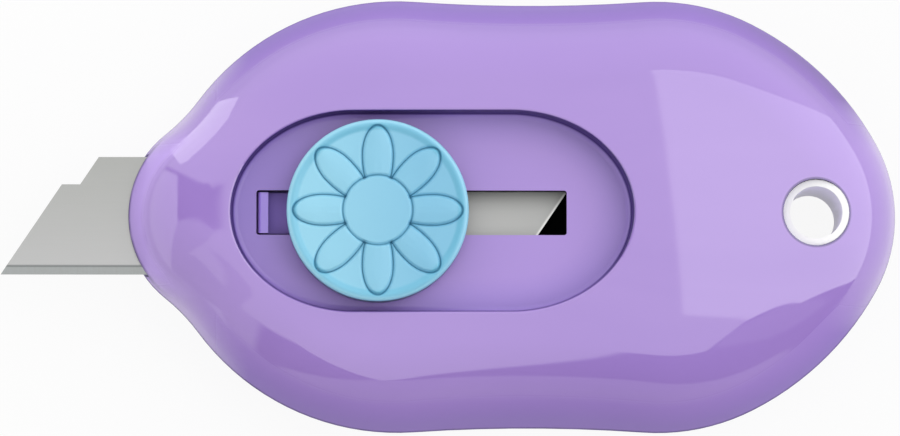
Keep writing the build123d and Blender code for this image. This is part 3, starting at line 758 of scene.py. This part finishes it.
# %% [markdown]
# ## Satin blue plastic
# The button's tool was spark-eroded, so its skin is a fine even matte that spreads the light and
# gives the thumb some hold. Roughness alone would look like wax. A fine grain in the normal and a
# little variation of tone make it plastic. A darker blue in the grooves and on the skirt is painted
# shade, and a paler left side and outer crest are painted light.

# %% Button finish and piece
BLUE = paint(115, 180, 211)
BLUE_PALE = paint(142, 203, 226)
BLUE_RIM = paint(100, 178, 206)
BLUE_CREST_HIGHLIGHT = paint(150, 210, 232)
BLUE_GROOVE_SHADE = paint(60, 125, 155)
SKIRT_SHADE = paint(44, 76, 112)
SPARK_DEPTH = 0.004 * MM


def flower_lines(tree, place):
    """Masks of the grooves round the petals and the heart, for painted shade, of the ring, and of
    the crest, for a painted highlight.
    """
    x, y, _ = split(tree, place)
    x = minus(tree, x, BUTTON_X)
    radius = flat_length(tree, x, y)
    turn = sum_of(tree, "WRAP", sum_of(tree, "ARCTAN2", y, x), math.pi / PETALS)
    turn.node.inputs[2].default_value = -math.pi / PETALS
    u = minus(tree, times(tree, radius, sum_of(tree, "COSINE", turn)), PETAL_MIDDLE)
    to_tip = sum_of(tree, "DIVIDE", u, PETAL_TIP_LENGTH)
    to_root = sum_of(tree, "DIVIDE", u, PETAL_ROOT_LENGTH)
    t = larger(tree, to_tip, to_root)
    w = sum_of(tree, "DIVIDE", times(tree, radius, sum_of(tree, "SINE", turn)), PETAL_HALF_WIDTH)
    reach = flat_length(tree, t, w)
    middle = GROOVE_WIDTH / 2 / PETAL_HALF_WIDTH
    from_line = apart(tree, reach, 1 + middle)
    petal_line = remap(tree, from_line, (0.3 * middle, 1.3 * middle), (1.0, 0.0))
    outside = sum_of(tree, "GREATER_THAN", radius, HEART_R)
    from_heart = apart(tree, radius, HEART_R + GROOVE_WIDTH / 2)
    heart_line = remap(tree, from_heart, (0.15 * GROOVE_WIDTH, 0.8 * GROOVE_WIDTH), (0.8, 0.0))
    lines = larger(tree, times(tree, petal_line, outside), heart_line)
    from_ring = apart(tree, radius, DISH_R + 0.35 * MM)
    ring = remap(tree, from_ring, (0.15 * MM, 0.35 * MM), (0.7, 0.0))
    return lines, ring, remap(tree, radius, (BUTTON_R - 0.3 * MM, BUTTON_R - 0.15 * MM), (0.0, 0.7))


def satin_blue():
    """Spark-eroded light-blue plastic, deeper on the rim; painted shade in grooves and skirt,
    painted light at left and crest.
    """
    finish, tree, shader, place = new_finish("button_plastic_satin", {"Specular IOR Level": 0.6})
    skin = effect(tree, "moulded_skin", place, Peel_Scale=6500.0, Flow_Scale=160.0)
    lines = effect(tree, "hairlines", place, Along=90.0, Across=6000.0, Patch_Scale=130.0)["Mask"]
    x, _, height = split(tree, place)
    # Painted shade: the skirt is dark.
    skirt = remap(tree, height, (CREST_Z - 2 * RIM_R, CREST_Z - RIM_R), (0.9, 0.0))
    grooves, ring, crest = flower_lines(tree, place)
    # Painted light: the left side of the button is paler, mixed with the flow streaks.
    painted_light_left = remap(tree, x, (BUTTON_X - 0.7 * BUTTON_R, BUTTON_X + 0.5 * BUTTON_R), (1.1, 0.2))
    painted_light_and_streaks = times(tree, painted_light_left, remap(tree, skin["Flow"], (0.2, 0.8), (0.8, 1.0)))
    tone = blend_colours(tree, ring, blend_colours(tree, painted_light_and_streaks, BLUE, BLUE_PALE), BLUE_RIM)
    # Painted highlight: the outer crest is paler.
    tone = blend_colours(tree, crest, tone, BLUE_CREST_HIGHLIGHT)
    # Painted shade: the grooves are a darker blue.
    tone = blend_colours(tree, grooves, tone, BLUE_GROOVE_SHADE)
    colour = blend_colours(tree, skirt, tone, SKIRT_SHADE)
    feed(tree, shader, colour, remap(tree, lines, (0.0, 1.0), (0.34, 0.46)))
    set_bump(tree, shader, skin["Peel"], SPARK_DEPTH)
    return finish


STEM_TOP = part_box("blade_carrier")[1].z
FOOT_LENGTH, FOOT_HALF_WIDTH = 8.0 * MM, 1.55 * MM
FOOT_END = BUTTON_X + 2.3 * MM
PEG_HALF, PEG_PITCH = 0.75 * MM, 4.6 * MM
PEG_EDGE = 0.05 * MM
foot_low = (FOOT_END - FOOT_LENGTH, -FOOT_HALF_WIDTH, STEM_TOP)
foot = block_rings(foot_low, (FOOT_END, FOOT_HALF_WIDTH, SKIRT_Z), PEG_EDGE)
pegs = [
    block_rings(
        (x - PEG_HALF, -PEG_HALF, BUTTON_LOW.z), (x + PEG_HALF, PEG_HALF, STEM_TOP), PEG_EDGE
    )
    for x in (BUTTON_X, BUTTON_X - PEG_PITCH)
]
button_mesh = ring_mesh("petal_button", [button_rings(), foot, *pegs])
button_mesh.shade_smooth()
button_mesh.set_sharp_from_angle(angle=math.radians(40))
button_mesh.materials.append(satin_blue())
petal_button = bpy.data.objects.new("petal_button", button_mesh)
bpy.context.scene.collection.objects.link(petal_button)
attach(petal_button, "slider")
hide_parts("flower_button")
print("petal_button faces", len(button_mesh.polygons))


# %% [markdown]
# ## Ground steel
# The blade is rolled strip, ground along its length, with the cutting edge ground across in a
# narrow band on both sides. The screws are turned and plated, and the click spring is bright
# strip. One ground-lines group serves them all: only the direction and the spacing of the lines
# differ, and on the screws the lines run in rings.

# %% Steel finishes
STEEL = paint(183, 183, 183)
STEEL_SHADE = paint(165, 166, 163)
EDGE_STEEL = paint(170, 174, 174)
TAIL_HIGHLIGHT_STEEL = paint(228, 228, 226)
BEVEL_LINE_SHADE = paint(112, 116, 116)
PLATED = paint(190, 188, 184)
STRAW = paint(192, 184, 168)
BLADE_LOW, BLADE_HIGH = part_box("blade")
BEVEL_WIDTH = 0.65 * MM
BLADE_ANGLE = math.radians(56.0)
GRIND_DEPTH, TURNED_DEPTH, ROLLED_DEPTH = 0.0005 * MM, 0.002 * MM, 0.001 * MM
SCREW_HEAD_R, SCREW_REAR_INSET = 1.8 * MM, 0.8 * MM


def blade_steel():
    """Strip steel ground lengthwise, with a crosswise, smoother grind on the cutting edge's band.

    A narrow painted highlight lies along the slanting tail. The flat is painted lighter towards the
    cutting edge, and painted shade draws a dark line along the top of the band.
    """
    finish, tree, shader, place = new_finish("blade_steel_ground", {"Metallic": 1.0})
    along = effect(tree, "ground_lines", place, Along=120.0, Across=16000.0)["Lines"]
    turned = turned_flat(tree, place, math.pi / 2)
    across = effect(tree, "ground_lines", turned, Along=900.0, Across=9000.0)["Lines"]
    x, y, _ = split(tree, place)
    slant = 1 / math.tan(BLADE_ANGLE)
    upright = minus(tree, x, times(tree, y, slant))
    to_tail = minus(tree, BLADE_HIGH.x - BLADE_HIGH.y * slant, upright)
    # Painted highlight: a bright line along the slanting tail.
    tail_highlight = remap(tree, to_tail, (0.1 * MM, 0.24 * MM), (1.0, 0.0))
    band_top = BLADE_LOW.y + BEVEL_WIDTH
    on_band = remap(tree, y, (band_top - 0.02 * MM, band_top + 0.02 * MM), (1.0, 0.0))
    # Painted light: the flat is lighter towards the cutting edge and darker towards its back.
    lower = remap(tree, y, (BLADE_HIGH.y, BLADE_LOW.y), (0.0, 0.85))
    painted_light_and_streaks = sum_of(tree, "ADD", lower, remap(tree, along, (0.3, 0.7), (0.0, 0.15)))
    flat = blend_colours(tree, painted_light_and_streaks, STEEL_SHADE, STEEL)
    band = blend_colours(tree, remap(tree, across, (0.3, 0.7), (0.0, 0.5)), EDGE_STEEL, STEEL_SHADE)
    # Painted shade: a dark line along the top of the band.
    from_line = apart(tree, y, band_top)
    line = remap(tree, from_line, (0.04 * MM, 0.12 * MM), (0.7, 0.0))
    tone = blend_colours(tree, tail_highlight, blend_colours(tree, on_band, flat, band), TAIL_HIGHLIGHT_STEEL)
    rough = remap(tree, along, (0.25, 0.75), (0.34, 0.42))
    keen = remap(tree, across, (0.25, 0.75), (0.28, 0.34))
    chosen = add(tree, "Mix", {0: on_band, 2: rough, 3: keen}).outputs[0]
    feed(tree, shader, blend_colours(tree, line, tone, BEVEL_LINE_SHADE), chosen)
    faint = times(tree, across, 0.3)
    grind = add(tree, "Mix", {0: on_band, 2: along, 3: faint}).outputs[0]
    set_bump(tree, shader, grind, GRIND_DEPTH)
    return finish


def turned_steel():
    """Plated screws: rings round the nearest screw's axis, by folding the plan onto one screw."""
    finish, tree, shader, place = new_finish("screw_steel_plated", {"Metallic": 1.0})
    low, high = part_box("case_screws")
    parts = split(tree, place)
    at_rear = sum_of(tree, "GREATER_THAN", parts["X"], (low.x + high.x) / 2)
    front_x, rear_x = low.x + SCREW_HEAD_R, high.x - SCREW_HEAD_R
    front_y, rear_y = high.y - SCREW_HEAD_R, high.y - SCREW_HEAD_R - SCREW_REAR_INSET
    centre_x = remap(tree, at_rear, (0.0, 1.0), (front_x, rear_x))
    centre_y = remap(tree, at_rear, (0.0, 1.0), (front_y, rear_y))
    x = minus(tree, parts["X"], centre_x)
    y = minus(tree, sum_of(tree, "ABSOLUTE", parts["Y"]), centre_y)
    reach = flat_length(tree, x, y)
    ringed = add(tree, "CombineXYZ", {1: reach, 2: parts["Z"]}).outputs[0]
    lines = effect(tree, "ground_lines", ringed, Along=2000.0, Across=14000.0)["Lines"]
    tone = blend_colours(tree, remap(tree, lines, (0.3, 0.7)), STEEL_SHADE, PLATED)
    feed(tree, shader, tone, remap(tree, lines, (0.25, 0.75), (0.24, 0.4)))
    set_bump(tree, shader, lines, TURNED_DEPTH)
    return finish


def spring_steel():
    """Bright rolled strip: fine lines along the bent strip, with a slight straw tint in patches."""
    finish, tree, shader, place = new_finish("spring_steel_bright", {"Metallic": 1.0})
    lines = effect(tree, "ground_lines", place, Along=200.0, Across=9000.0)["Lines"]
    patches = effect(tree, "moulded_skin", place, Peel_Scale=2000.0, Flow_Scale=400.0)["Flow"]
    tone = blend_colours(tree, remap(tree, patches, (0.4, 0.7)), PLATED, STRAW)
    feed(tree, shader, tone, remap(tree, lines, (0.25, 0.75), (0.16, 0.3)))
    set_bump(tree, shader, lines, ROLLED_DEPTH)
    return finish


# %% [markdown]
# ## White liner
# The lanyard hole is lined with a plain white moulding. It shows as a thin bright ring with the
# light fading down its bore, so it needs a clean white, a little tone and a soft gloss. Its bore is
# painted a darker lilac as painted shade.

# %% Liner finish
WHITE = paint(250, 250, 252)
WHITE_WARM = paint(244, 243, 244)
BORE_SHADE_TINT = paint(232, 226, 252)
LINER_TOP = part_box("lanyard_liner")[1].z
LINER_PEEL_DEPTH = 0.001 * MM


def white_plastic():
    """Soft-gloss white moulding with faint flow marks and hairlines, and a lilac painted shade in
    its bore.
    """
    finish, tree, shader, place = new_finish("liner_plastic_white", {"Specular IOR Level": 0.5})
    skin = effect(tree, "moulded_skin", place, Peel_Scale=3000.0, Flow_Scale=300.0)
    lines = effect(tree, "hairlines", place, Along=120.0, Across=7000.0, Patch_Scale=200.0)["Mask"]
    height = split(tree, place)["Z"]
    # Painted shade: the bore is a darker lilac.
    bore = remap(tree, height, (LINER_TOP - 0.3 * MM, LINER_TOP - 0.05 * MM), (1.0, 0.0))
    tone = blend_colours(tree, remap(tree, skin["Flow"], (0.35, 0.65)), WHITE, WHITE_WARM)
    colour = blend_colours(tree, bore, tone, BORE_SHADE_TINT)
    feed(tree, shader, colour, remap(tree, lines, (0.0, 1.0), (0.3, 0.42)))
    set_bump(tree, shader, skin["Peel"], LINER_PEEL_DEPTH)
    return finish


NODE_FINISHES = {
    "blade": blade_steel(),
    "blade_carrier": carrier_satin,
    "case_screws": turned_steel(),
    "click_spring": spring_steel(),
    "lanyard_liner": white_plastic(),
    "upper_shell": case_gloss,
    "lower_shell": case_gloss,
    "flower_button": petal_button.data.materials[0],
}
for node_name, finish in NODE_FINISHES.items():
    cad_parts[node_name].data.materials[0] = finish
print("finishes:", sorted({finish.name for finish in NODE_FINISHES.values()}))


# %% [markdown]
# ## The studio
# The picture was lit by a few large soft boxes that show in the gloss with straight edges: one
# above and behind, one towards the front, a brighter one over the tail and a weaker one at the
# nose, with a low fill in front. Lamps could stand round the knife. Painting the boxes on the sky
# is plainer: each is a patch between corner directions, and elsewhere only a dim level is left.

# %% Sky with soft boxes
AMBIENT = 0.16
SHARP, SOFT = 0.006, 0.03
FRONT_CORNERS = [(168.2, 13.8), (212, 35), (233.4, 41.1), (255.4, 50.8), (261.7, 54.3)]
FRONT_CORNERS += [(270, 51.3), (292, 18), (20, 5)]
TAIL_CORNERS = [(66.1, 27), (335.3, 14.1), (328.1, 43.9), (335, 85), (339, 100), (37, 100)]
# Each box: its strength, the blur of its edges, and its corners in degrees.
SOFT_BOXES = {
    "back": (1.2, SHARP, [(130, 100), (152.6, 15.4), (65.6, 19.9), (36, 100)]),
    "neck": (1.2, SOFT, [(143, 100), (143, 30), (105, 30), (105, 100)]),
    "overhead": (1.2, SHARP, [(129.2, 21.1), (235.6, 22.4), (307.9, 24.5), (71, 24.5)]),
    "front": (1.2, SHARP, FRONT_CORNERS),
    "front corner": (1.2, SOFT, [(205, 23), (213.4, 58.9), (234.5, 40.6)]),
    "front low": (0.6, SOFT, [(232, 100), (240, 50), (262, 52), (305, 36), (318, 100)]),
    "tail strip": (2.0, SHARP, [(73, 26.4), (329.8, 11.5), (337, 16), (60, 28)]),
    "tail": (2.0, SHARP, TAIL_CORNERS),
    "tail fill": (0.4, SOFT, [(333, 12.6), (307.9, 24.5), (313, 48), (322, 64), (330, 75)]),
    "nose": (1.35, SOFT, [(145, 100), (145, 66), (165, 48.5), (184, 47), (226, 100)]),
    "nose fill": (0.85, SOFT, [(168, 13), (181, 46), (195, 100), (229, 100), (212, 22)]),
}


def sky_direction(corners):
    """Unit vectors from pairs of degrees: round from +X towards +Y, and down from overhead."""
    turn, tilt = np.radians(np.array(corners, float)).T
    x, y = np.cos(turn) * np.sin(tilt), np.sin(turn) * np.sin(tilt)
    return np.stack([x, y, np.cos(tilt)], axis=1)


def box_mask(tree, way, corners, blur):
    """1 inside a box: the product of a step for each edge, in the plane of edge and knife."""
    ends = sky_direction(corners)
    edges = np.cross(ends, np.roll(ends, -1, axis=0))
    edges *= (np.sign(edges @ ends.mean(axis=0)) / np.linalg.norm(edges, axis=1))[:, None]
    mask = 1.0
    for edge in edges:
        side = dot(tree, way, edge.tolist())
        mask = times(tree, mask, remap(tree, side, (-blur, blur)))
    return mask


sky = bpy.data.worlds.new("studio")
sky.use_nodes = True
sky_tree = sky.node_tree
sky_way = add(sky_tree, "TexCoord").outputs["Generated"]
sky_level = AMBIENT
for strength, blur, corners in SOFT_BOXES.values():
    lit = times(sky_tree, box_mask(sky_tree, sky_way, corners, blur), strength)
    sky_level = larger(sky_tree, sky_level, lit)
sky_tree.links.new(sky_level, sky_tree.nodes["Background"].inputs["Color"])
bpy.context.scene.world = sky
print("soft boxes:", list(SOFT_BOXES))

# %% [markdown]
# ## Glint card
# The brightest mark on the case is a slim glint in the hollow beside the nose. The hollow gathers
# light like a concave mirror, so even a far lamp would break up in it. A card the size of a match
# book, standing on the floor just outside the picture where the hollow's light crosses, fills it.

# %% Glint card
GLINT_STRENGTH = 2.4
CARD_TURN, CARD_DISTANCE = math.radians(135.0), 46.7 * MM
CARD_CORNERS = [(-13.9, 0.0), (-11.2, 0.0), (-8.0, 12.5), (-13.4, 18.5), (-16.3, 16.5)]

away = np.array([math.cos(CARD_TURN), math.sin(CARD_TURN), 0.0])
beside = np.array([math.sin(CARD_TURN), -math.cos(CARD_TURN), 0.0])
sideways, height = np.array(CARD_CORNERS).T[:, :, None] * MM
card_points = CARD_DISTANCE * away + sideways * beside + height * [0.0, 0.0, 1.0]
card_mesh = bpy.data.meshes.new("glint_card")
card_mesh.from_pydata(card_points.tolist(), [], [tuple(range(len(card_points)))])
card_light = bpy.data.materials.new("glint_light")
card_light.use_nodes = True
shine = add(card_light.node_tree, "Emission", {"Strength": GLINT_STRENGTH})
card_output = card_light.node_tree.nodes["Material Output"]
card_light.node_tree.links.new(shine.outputs[0], card_output.inputs["Surface"])
card_mesh.materials.append(card_light)
glint_card = bpy.data.objects.new("glint_card", card_mesh)
glint_card.visible_camera = False
bpy.context.scene.collection.objects.link(glint_card)
print("glint card from x, y in mm", [round(float(c) / MM, 1) for c in card_points.min(axis=0)[:2]])

# %% [markdown]
# ## Floor
# The knife lies on a plain white floor. Lit paper would come out a little grey, so for what the
# camera, a mirror or glass sees, most of the floor's white is its own. The rest is lit, which
# keeps the knife's soft shadow.

# %% Floor
FLOOR_HALF = 4.0
FLOOR_OWN_WHITE = 0.92


def floor_white():
    """Matte white that shows mostly its own white to the camera and in mirrors."""
    finish = bpy.data.materials.new("floor_white")
    finish.use_nodes = True
    tree = finish.node_tree
    shader = tree.nodes["Principled BSDF"]
    shader.inputs["Base Color"].default_value = (0.7, 0.7, 0.7, 1.0)
    shader.inputs["Roughness"].default_value = 1.0
    shader.inputs["Specular IOR Level"].default_value = 0.0
    rays = add(tree, "LightPath").outputs
    seen = larger(tree, rays["Is Camera Ray"], rays["Is Glossy Ray"])
    seen = larger(tree, seen, rays["Is Transmission Ray"])
    own = add(tree, "Emission", {"Color": (1.0, 1.0, 1.0, 1.0), "Strength": 1.0})
    share = times(tree, seen, FLOOR_OWN_WHITE)
    mixed = add(tree, "MixShader", {0: share, 1: shader.outputs[0], 2: own.outputs[0]})
    tree.links.new(mixed.outputs[0], tree.nodes["Material Output"].inputs["Surface"])
    return finish


floor_z = CAD_BOX[0][2] - 0.02 * MM
corners = FLOOR_HALF * np.array([(-1, -1), (1, -1), (1, 1), (-1, 1)])
floor_mesh = bpy.data.meshes.new("floor")
floor_mesh.from_pydata([(x, y, floor_z) for x, y in corners], [], [(0, 1, 2, 3)])
floor_mesh.materials.append(floor_white())
floor = bpy.data.objects.new("floor", floor_mesh)
bpy.context.scene.collection.objects.link(floor)
print("floor at z in mm", round(floor_z / MM, 3))

# %% [markdown]
# ## Camera
# The photograph looks down on the knife through a long lens, leaning a few degrees towards the
# cutting edge. A far camera with a narrow view gives that flat perspective. Its axes are built by
# hand, because aiming a camera straight down leaves its roll open.

# %% Camera
VIEW_TARGET = np.array([-4.66, -0.11, 5.4]) * MM
VIEW_DISTANCE = 600.0 * MM
VIEW_WIDTH = 68.9 * MM
LEAN_TO_EDGE = math.radians(4.2)
LEAN_TO_NOSE = math.radians(1.0)

back = np.array([-math.tan(LEAN_TO_NOSE), -math.tan(LEAN_TO_EDGE), 1.0])
back /= np.linalg.norm(back)
right = np.cross([0.0, 1.0, 0.0], back)
right /= np.linalg.norm(right)
upward = np.cross(back, right)
camera_data = bpy.data.cameras.new("camera")
camera_data.sensor_fit = "HORIZONTAL"
camera_data.lens = camera_data.sensor_width * VIEW_DISTANCE / VIEW_WIDTH
camera_data.clip_start = 0.01
camera = bpy.data.objects.new("camera", camera_data)
place = np.eye(4)
place[:3, :3] = np.stack([right, upward, back], axis=1)
place[:3, 3] = VIEW_TARGET + back * VIEW_DISTANCE
camera.matrix_world = place.T.tolist()
bpy.context.scene.collection.objects.link(camera)
bpy.context.scene.camera = camera
bpy.context.scene.view_settings.view_transform = "Standard"
print("lens in mm", round(camera_data.lens, 1))
